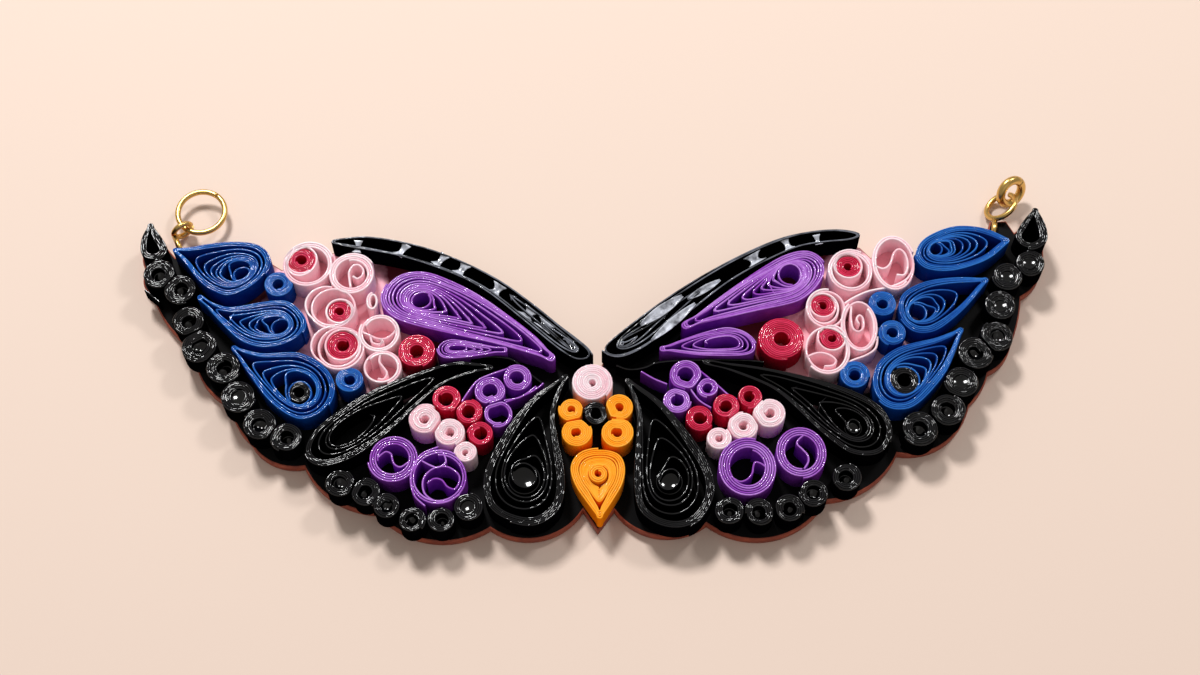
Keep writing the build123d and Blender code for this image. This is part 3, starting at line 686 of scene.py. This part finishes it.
# Strip ends and tails that run between the coils, in plan millimetres. drop: below the coils' tops.
looseStrips = {
    "left_loose_end": {"slot": "black_paper", "drop": 0.9, "runs": [
        [(-39.6, 14.3), (-38.9, 13.7), (-38.2, 13.1)]]},
    "left_black_tail": {"slot": "black_paper", "drop": 0.5, "runs": [
        [(-10.9, 7.6), (-9.2, 7.8), (-7.5, 7.6), (-6.5, 6.9), (-5.8, 6.2), (-4.7, 5.3)]]},
    "left_purple_tails": {"slot": "purple_paper", "drop": 0.3, "runs": [
        [(-11.6, 3.4), (-11.1, 4.3), (-10.3, 5.4), (-9.2, 6.0), (-7.9, 6.5), (-7.0, 6.9)],
        [(-7.9, 3.4), (-6.2, 4.1), (-5.1, 4.8), (-4.7, 5.2)], [(-8.0, 3.6), (-6.6, 3.9), (-5.3, 4.9)]]},
    "left_scroll_tail": {"slot": "purple_paper", "drop": 0.0, "runs": [
        [(-14.3, -6.2), (-15.2, -5.3), (-15.6, -4.0), (-15.5, -2.8), (-14.8, -1.5), (-13.4, -0.8)],
        [(-11.4, -5.2), (-12.4, -5.8), (-13.4, -5.8), (-14.3, -5.2), (-14.6, -4.3), (-14.4, -3.4),
         (-13.6, -2.7), (-12.5, -2.6), (-11.6, -3.2), (-11.4, -3.9), (-11.8, -4.7), (-12.5, -4.5),
         (-13.0, -3.9), (-13.6, -3.8), (-14.1, -4.2)],
        [(-14.7, -2.2), (-14.0, -2.6), (-13.3, -2.8), (-12.6, -2.3), (-12.8, -1.5), (-13.2, -1.1)]]},
    "right_black_tail": {"slot": "black_paper", "drop": 0.5, "runs": [
        [(1.6, 7.0), (2.7, 6.6), (4.0, 6.8), (5.3, 7.3), (8.7, 7.5), (12.1, 7.5), (14.2, 7.3)]]},
    "right_purple_tails": {"slot": "purple_paper", "drop": 0.3, "runs": [
        [(3.7, 6.3), (4.8, 5.6), (5.9, 5.1)], [(8.7, 6.4), (9.9, 5.3), (11.2, 4.0), (11.8, 3.7)],
        [(7.8, 4.8), (8.6, 3.6), (9.6, 2.9)]]},
    "right_pink_tails": {"slot": "pink_paper", "drop": 0.2, "runs": [
        [(27.7, 16.6), (27.4, 15.6), (26.7, 14.8), (25.4, 14.2), (23.6, 13.8), (22.3, 13.2), (21.4, 12.6)],
        [(24.1, 9.5), (23.9, 8.4), (23.1, 7.7), (21.9, 7.2), (21.3, 6.9)]]},
    "right_petal_curl": {"slot": "pink_paper", "drop": 0.0, "runs": [
        [(17.75, 7.5), (18.4, 7.85), (19.15, 7.95), (19.9, 7.7), (20.4, 7.15), (20.1, 6.6), (19.3, 6.5)]]},
}
tailSteps = 12  # points on a tail for each one given
for name, tails in looseStrips.items():
    ribbons = []
    for run in tails["runs"]:
        points = [Vector(p) for p in run]
        ribbons.append((smoothCurve(points, tailSteps * len(run)), loweredTop(tails["drop"])))
    paperPiece(name, ribbons, tails["slot"], [])
print("tails")


# Dried varnish: a film that bridges the strips of the fore bands. Its milky grey to white colour is a painted
# reflection of the light, under a clear glossy coat.
def driedVarnishSheen():
    material, tree = newMaterial("dried_varnish_sheen")
    streaks = speckle(tree, objectSpot(tree), 0.8, 3.0)
    # The pale stops of the ramp are painted reflection.
    paint(tree, {
        "Base Color": toneRamp(tree, streaks, [(0.28, "#4a4c54"), (0.58, "#d2d6e2")]), "Roughness": 0.2,
        "IOR": 1.5, "Coat Weight": 1.0, "Coat Roughness": 0.05})
    return material


def smoothAll(mesh):
    for face in mesh.faces:
        face.smooth = True


# at: plan millimetres; size: half along and half across the band; heading in degrees; up: above the rails;
# waist: how wide the web stays in its middle.
varnishFilms = {
    "left_varnish_bridges": [
        {"at": (-21.1, 18.2), "size": (0.4, 0.6), "heading": -5},
        {"at": (-17.2, 17.9), "size": (0.5, 0.65), "heading": -35},
        {"at": (-13.8, 16.9), "size": (0.5, 0.65), "heading": -40},
        {"at": (-11.9, 16.0), "size": (0.6, 0.6), "heading": -35},
        {"at": (-8.8, 14.0), "size": (0.7, 0.55), "heading": -35},
        {"at": (-6.0, 11.7), "size": (0.8, 0.5), "heading": -40},
        {"at": (-4.6, 10.5), "size": (0.9, 0.4), "heading": -40},
    ],
    "right_varnish_bridges": [
        {"at": (5.5, 11.8), "size": (2.3, 0.5), "heading": 38, "up": 0.3, "waist": 1.0},
        {"at": (6.5, 10.7), "size": (2.6, 0.4), "heading": 43, "up": 0.3, "waist": 1.0},
        {"at": (9.2, 13.9), "size": (1.7, 0.35), "heading": 33, "up": 0.15, "waist": 1.0},
        {"at": (19.3, 18.9), "size": (0.35, 0.5), "heading": 12},
        {"at": (16.6, 18.5), "size": (0.5, 0.6), "heading": 25},
        {"at": (13.7, 17.0), "size": (0.9, 0.5), "heading": 32},
    ],
}
# waist: of a web drawn thin; taper: how much a full one narrows to its ends; drop, sag, ripple, thick in mm.
filmShape = {"cells": 8, "waist": 0.45, "taper": 1.3, "drop": 0.1, "sag": 0.25, "ripple": 0.05, "waves": 3,
             "thick": 0.05}
varnish = driedVarnishSheen()
for name, films in varnishFilms.items():
    mesh = bmesh.new()
    for film in films:
        cells = filmShape["cells"]
        sheet = bmesh.ops.create_grid(mesh, x_segments=cells, y_segments=cells, size=1.0)["verts"]
        along, across = film["size"]
        waist = film.get("waist", filmShape["waist"])
        taper = (waist - filmShape["waist"]) * filmShape["taper"]
        for vert in sheet:
            drawn = vert.co.y ** 2
            wave = noise.noise((vert.co.x * filmShape["waves"], vert.co.y * filmShape["waves"], along))
            vert.co.z = filmShape["sag"] * (drawn - 1) + filmShape["ripple"] * wave
            vert.co.y *= 1 - taper * vert.co.x ** 2
            vert.co.x *= waist + (1 - waist) * drawn
        x, y = film["at"]
        z = strip["top"] - filmShape["drop"] + film.get("up", 0)
        shape = Matrix.Translation((x * mm, y * mm, z * mm))
        shape @= Matrix.Rotation(math.radians(film["heading"]), 4, "Z")
        shape @= Matrix.Diagonal((along * mm, across * mm, mm, 1.0))
        bmesh.ops.transform(mesh, matrix=shape, verts=sheet)
    faceOutwards(mesh)
    bmesh.ops.solidify(mesh, geom=mesh.faces, thickness=filmShape["thick"] * mm)
    smoothAll(mesh)
    place(name, mesh, [varnish], [])

# Varnish that has set in the eyes and beads. up: from the card to the middle of the hollow, mm; hollow: how
# far its edge climbs; tilt in degrees.
eyePools = {
    "left_body_teardrop": {"radius": 1.42, "up": 1.3, "hollow": 0.3},
    "right_body_teardrop": {"radius": 1.17, "up": 1.3, "hollow": 0.3},
    "right_leaf": {"radius": 0.77, "up": 1.5, "hollow": 0.25},
}
beadPools = {"up": (0.7, 1.5), "hollow": 0.3, "tilt": 12}
# Fuller beads, by their order from the left, whose pool faces the light.
fullBeads = {"left_edge_beads": (5,), "right_edge_beads": (2, 5, 6, 7), "left_lower_beads": (5,)}
fullPool = {"up": 1.9, "hollow": 0.1, "tilt": 8, "heading": math.radians(142)}
bowlShape = {"rings": 8, "sides": 36, "thick": 0.1}
pooled = varnishedPaper("set_varnish", "#020203", "#060608", grain=0.8, streaked=0.0, coat=1.0, bump=0.1,
                        dull=0.09)


def pool(mesh, spot, radius, up, hollow, tilt=0.0, heading=0.0):
    bowl = bmesh.new()
    rings = bowlShape["rings"]
    steps = [bowl.verts.new((radius * mm * i / rings, 0, hollow * mm * (i / rings) ** 2))
             for i in range(rings + 1)]
    edges = [bowl.edges.new(pair) for pair in zip(steps, steps[1:])]
    bmesh.ops.spin(bowl, geom=steps + edges, cent=(0, 0, 0), axis=(0, 0, 1), angle=2 * math.pi,
                   steps=bowlShape["sides"], use_merge=True)
    bmesh.ops.remove_doubles(bowl, verts=bowl.verts, dist=reading["weld"] * mm)
    faceOutwards(bowl)
    bmesh.ops.solidify(bowl, geom=bowl.faces, thickness=bowlShape["thick"] * mm)
    leaning = Matrix.Rotation(heading, 4, "Z") @ Matrix.Rotation(math.radians(tilt), 4, "Y")
    lifted = Matrix.Translation((spot.x * mm, spot.y * mm, (strip["foot"] + up) * mm))
    bmesh.ops.transform(bowl, matrix=lifted @ leaning, verts=bowl.verts)
    smoothAll(bowl)
    data = bpy.data.meshes.new("bowl")
    bowl.to_mesh(data)
    bowl.free()
    mesh.from_mesh(data)
    bpy.data.meshes.remove(data)


for nodeName, shape in eyePools.items():
    mesh = bmesh.new()
    pool(mesh, eyeSpots[nodeName], **shape)
    place(nodeName + "_eye_pool", mesh, [pooled], [])
drip = random.Random(11)
for nodeName in ("left_edge_beads", "right_edge_beads", "left_lower_beads", "right_lower_beads"):
    mesh = bmesh.new()
    for k, (center, radius) in enumerate(coilsOf[nodeName]):
        shape = {"up": drip.uniform(*beadPools["up"]), "hollow": beadPools["hollow"],
                 "tilt": drip.uniform(0, beadPools["tilt"]), "heading": drip.uniform(0, anyTurn)}
        if k in fullBeads.get(nodeName, ()):
            shape = fullPool
        pool(mesh, center, radius * tightGroups[nodeName]["hole"], **shape)
    place(nodeName + "_pools", mesh, [pooled], [])

# A film of set varnish on the card inside each fore band. margin, thick in mm.
bandFilm = {"share": 0.97, "margin": 0.2, "thick": 0.08}
for side in ("left", "right"):
    mesh = bmesh.new()
    outline = pinchedOutline(side + "_fore_band")
    core = middle(outline)
    outline = [core.lerp(p, bandFilm["share"]) for p in outline]
    face = mesh.faces.new([mesh.verts.new((p.x * mm, p.y * mm, strip["foot"] * mm)) for p in outline])
    margin = bmesh.ops.inset_region(mesh, faces=[face], thickness=bandFilm["margin"] * mm)["faces"]
    bmesh.ops.delete(mesh, geom=margin, context="FACES")
    raised = bmesh.ops.extrude_face_region(mesh, geom=mesh.faces[:])["geom"]
    bmesh.ops.translate(mesh, verts=vertsOf(raised), vec=(0, 0, bandFilm["thick"] * mm))
    faceOutwards(mesh)
    place(side + "_band_film", mesh, [papers["black_paper"][1]], [])
print("varnish")


# Gold-coloured plated wire: mirror bright, with dark bands where it turns from the light.
def platedWire():
    material, tree = newMaterial("gold_plated_wire")
    wear = speckle(tree, objectSpot(tree), 1.5, 1.0)
    dull = addNode(tree, "ShaderNodeMapRange", None, {"Value": wear, "To Min": 0.24, "To Max": 0.34})
    paint(tree, {"Base Color": linearColor("#dfb86c"), "Metallic": 1.0, "Roughness": dull.outputs["Result"]})
    return material


# Wires and sizes in mm. slack: from the eye's middle to the hinge; heading and tilt of the eye in degrees;
# foot: plan place where the pin ends under the coils.
fittings = {
    "left": {"ringWire": 0.5, "eyeWire": 0.5, "eyeRadius": 0.85, "slack": 0.3, "heading": 33, "tilt": 90,
             "foot": (-36.9, 18.5)},
    "right": {"ringWire": 0.8, "eyeWire": 0.5, "eyeRadius": 1.4, "slack": 0.5, "heading": 62, "tilt": 40,
              "foot": (35.3, 20.3)},
}
bends = {"ring": (358, 72), "eye": (335, 48)}  # degrees that the wire goes round, and steps
wireSides = 16


# The gap in the arc faces +X.
def wireArc(mesh, radius, wire, turn, steps):
    section = bmesh.ops.create_circle(mesh, segments=wireSides, radius=wire / 2 * mm)["verts"]
    bmesh.ops.rotate(mesh, verts=section, matrix=Matrix.Rotation(math.pi / 2, 3, "X"))
    bmesh.ops.translate(mesh, verts=section, vec=(radius * mm, 0, 0))
    start = list(dict.fromkeys(e for v in section for e in v.link_edges))
    swept = bmesh.ops.spin(mesh, geom=start, cent=(0, 0, 0), axis=(0, 0, 1), angle=math.radians(turn),
                           steps=steps)
    last = [g for g in swept["geom_last"] if isinstance(g, bmesh.types.BMEdge)]
    bmesh.ops.contextual_create(mesh, geom=start)
    bmesh.ops.contextual_create(mesh, geom=last)
    bmesh.ops.rotate(mesh, verts=mesh.verts, matrix=Matrix.Rotation(math.radians(180 - turn / 2), 3, "Z"))


# Sets the arc at its place, with its own x and y along the two directions.
def setArc(mesh, spot, out, rise):
    turned = Matrix((out, rise, out.cross(rise))).transposed().to_4x4()
    bmesh.ops.transform(mesh, matrix=Matrix.Translation(spot) @ turned, verts=mesh.verts)


def finishWire(mesh):
    faceOutwards(mesh)
    for face in mesh.faces:
        face.smooth = len(face.verts) == 4


gold = platedWire()
up = Vector((0, 0, 1))
for joint in frame["joints"]:
    side = joint["name"].split("_")[0]
    fitting = fittings[side]
    hinge = Vector(joint["pos_m"])
    axis = Vector(joint["axis"]).normalized()
    low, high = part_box(side + "_jump_ring")
    reach = (low + high) / 2 - hinge
    normal = axis.cross(reach).normalized()
    mesh = bmesh.new()
    wireArc(mesh, reach.length / mm, fitting["ringWire"], *bends["ring"])
    setArc(mesh, hinge + reach, reach.normalized(), normal.cross(reach.normalized()))
    finishWire(mesh)
    place(side + "_ring_wire", mesh, [gold], [side + "_jump_ring"], side + "_ring")

    inner = Vector((fitting["foot"][0] * mm, fitting["foot"][1] * mm, hinge.z))
    heading = math.radians(fitting["heading"])
    out = Vector((math.cos(heading), math.sin(heading), 0))
    tilt = math.radians(fitting["tilt"])
    rise = out.cross(up) * math.cos(tilt) + up * math.sin(tilt)
    mesh = bmesh.new()
    wireArc(mesh, fitting["eyeRadius"], fitting["eyeWire"], *bends["eye"])
    eye = hinge - out * fitting["slack"] * mm
    setArc(mesh, eye, out, rise)
    stem = eye - out * fitting["eyeRadius"] * mm - inner
    shaft = Matrix.Translation(inner + stem / 2) @ stem.to_track_quat("Z", "Y").to_matrix().to_4x4()
    bmesh.ops.create_cone(mesh, cap_ends=True, segments=wireSides, radius1=fitting["eyeWire"] / 2 * mm,
                          radius2=fitting["eyeWire"] / 2 * mm, depth=stem.length, matrix=shaft)
    finishWire(mesh)
    place(side + "_pin_wire", mesh, [gold], [side + "_eye_pin"])
print("fittings")

# Ovals on the card's face, the same on both wings: middle and half axes in plan mm, turn in degrees. The rust
# red one ends in black, and the one under the pinks is a mask for a painted pale salmon pink light, the glow of
# the pink paper on the card.
cardOvals = {
    "rust": {"at": (21.0, 12.8), "half": (12.0, 9.0), "turn": 0,
             "stops": [(0.9, "#62222a"), (1.0, "#050405")]},
    "painted_pink_light": {"at": (22.2, 12.2), "half": (12.5, 7.2), "turn": 53,
               "stops": [(0.85, "#ffffff"), (0.97, "#000000")]},
}
fray = 0.4  # how far the fibres break the ovals' edges, as a share of their size


# Black below the beads and leaves, dark rust red between the upper coils, and under the pinks a painted pale
# salmon pink: painted light from the glowing pink paper, not the card's own colour.
def cardFace():
    material, tree = newMaterial("varnished_card_face")
    spot = objectSpot(tree)
    fibres = speckle(tree, spot, 2.5, 3.0)
    axes = addNode(tree, "ShaderNodeSeparateXYZ", None, {"Vector": spot})
    aside = addNode(tree, "ShaderNodeMath", {"operation": "ABSOLUTE"}, {0: axes.outputs["X"]})
    plan = addNode(tree, "ShaderNodeCombineXYZ", None, {"X": aside.outputs["Value"], "Y": axes.outputs["Y"]})
    tones = {}
    for name, field in cardOvals.items():
        oval = addNode(tree, "ShaderNodeMapping", {"vector_type": "TEXTURE"}, {
            "Vector": plan.outputs["Vector"], "Location": [c * mm for c in field["at"]] + [0],
            "Rotation": (0, 0, math.radians(field["turn"])), "Scale": [c * mm for c in field["half"]] + [1]})
        away = addNode(tree, "ShaderNodeVectorMath", {"operation": "LENGTH"}, {0: oval.outputs["Vector"]})
        inside = addNode(tree, "ShaderNodeMath", {"operation": "MULTIPLY_ADD"},
                         {0: fibres, 1: fray, 2: away.outputs["Value"]})
        tones[name] = toneRamp(tree, inside.outputs["Value"], field["stops"])
    # Painted light: the pale salmon pink laid under the pinks.
    blend = addNode(tree, "ShaderNodeMixRGB", None, {
        "Fac": tones["painted_pink_light"], "Color1": tones["rust"], "Color2": linearColor("#ffbfca")})
    paint(tree, {
        "Base Color": blend.outputs["Color"], "Roughness": 0.6, "IOR": 1.5, "Specular IOR Level": 0.1})
    return material


def cardSide():
    material, tree = newMaterial("cut_board")
    fibres = speckle(tree, objectSpot(tree), 1.0, 5.0)
    tone = toneRamp(tree, fibres, [(0.3, "#7a2c19"), (0.7, "#a04628")])
    paint(tree, {"Base Color": tone, "Roughness": 0.6, "IOR": 1.5})
    return material


# bevel in mm; rim, face: upward shares of the normals; crease in radians.
backing = {"bevel": 0.12, "rim": 0.5, "face": 0.95, "crease": 0.9}
mesh = bmesh.new()
face = mesh.faces.new([mesh.verts.new((p.x * mm, p.y * mm, 0.0)) for p in topLoops("backing")[0]])
raised = bmesh.ops.extrude_face_region(mesh, geom=[face])["geom"]
bmesh.ops.translate(mesh, verts=vertsOf(raised), vec=(0, 0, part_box("backing")[1].z))
faceOutwards(mesh)
rims = [e for e in mesh.edges if abs(e.link_faces[0].normal.z - e.link_faces[1].normal.z) > backing["rim"]]
bmesh.ops.bevel(mesh, geom=rims, offset=backing["bevel"] * mm, segments=2, profile=0.5, affect="EDGES",
                material=-1)
smoothAll(mesh)
for face in mesh.faces:
    face.material_index = 0 if face.normal.z > backing["face"] else 1
for edge in mesh.edges:
    edge.smooth = edge.calc_face_angle() < backing["crease"]
place("backing_card", mesh, [cardFace(), cardSide()], ["backing"])
print("backing")

tableHalf = 2.0  # metres
floorMaterial, tree = newMaterial("pale_table")
paint(tree, {"Base Color": linearColor("#e6d0c1"), "Roughness": 0.7, "IOR": 1.45})
mesh = bmesh.new()
bmesh.ops.create_grid(mesh, x_segments=1, y_segments=1, size=tableHalf)
data = bpy.data.meshes.new("table")
mesh.to_mesh(data)
mesh.free()
data.materials.append(floorMaterial)
floor = bpy.data.objects.new("table", data)
scene.collection.objects.link(floor)

# Places and sizes in mm, power in watts.
lamps = {
    "backSoftbox": {"at": (-110, 260, 350), "size": 80, "power": 1.55},
    "sideStrip": {"at": (200, 220, 320), "size": 60, "power": 0.45},
    "frontFill": {"at": (150, -240, 300), "size": 260, "power": 0.06},
}
for name, lamp in lamps.items():
    light = bpy.data.lights.new(name, "AREA")
    light.size = lamp["size"] * mm
    light.energy = lamp["power"]
    holder = bpy.data.objects.new(name, light)
    holder.location = Vector(lamp["at"]) * mm
    holder.rotation_euler = (-holder.location).to_track_quat("-Z", "Y").to_euler()
    scene.collection.objects.link(holder)

studio = {"color": "#f6f1ec", "strength": 0.36}
world = bpy.data.worlds.new("studio")
scene.world = world
world.use_nodes = True
background = world.node_tree.nodes["Background"]
background.inputs["Color"].default_value = linearColor(studio["color"])
background.inputs["Strength"].default_value = studio["strength"]

scene.view_settings.view_transform = "Standard"
# eye, lens, sensor, clip in mm; tilt in degrees.
view = {"eye": (0.17, -65.91, 157.54), "tilt": 26.0, "lens": 60.0, "sensor": 36.0, "clip": 10}
cameraData = bpy.data.cameras.new("photoView")
cameraData.lens = view["lens"]
cameraData.sensor_width = view["sensor"]
cameraData.clip_start = view["clip"] * mm
camera = bpy.data.objects.new("photoView", cameraData)
camera.location = Vector(view["eye"]) * mm
camera.rotation_euler = (math.radians(view["tilt"]), 0, 0)
scene.collection.objects.link(camera)
scene.camera = camera
print("table, lamps and camera")
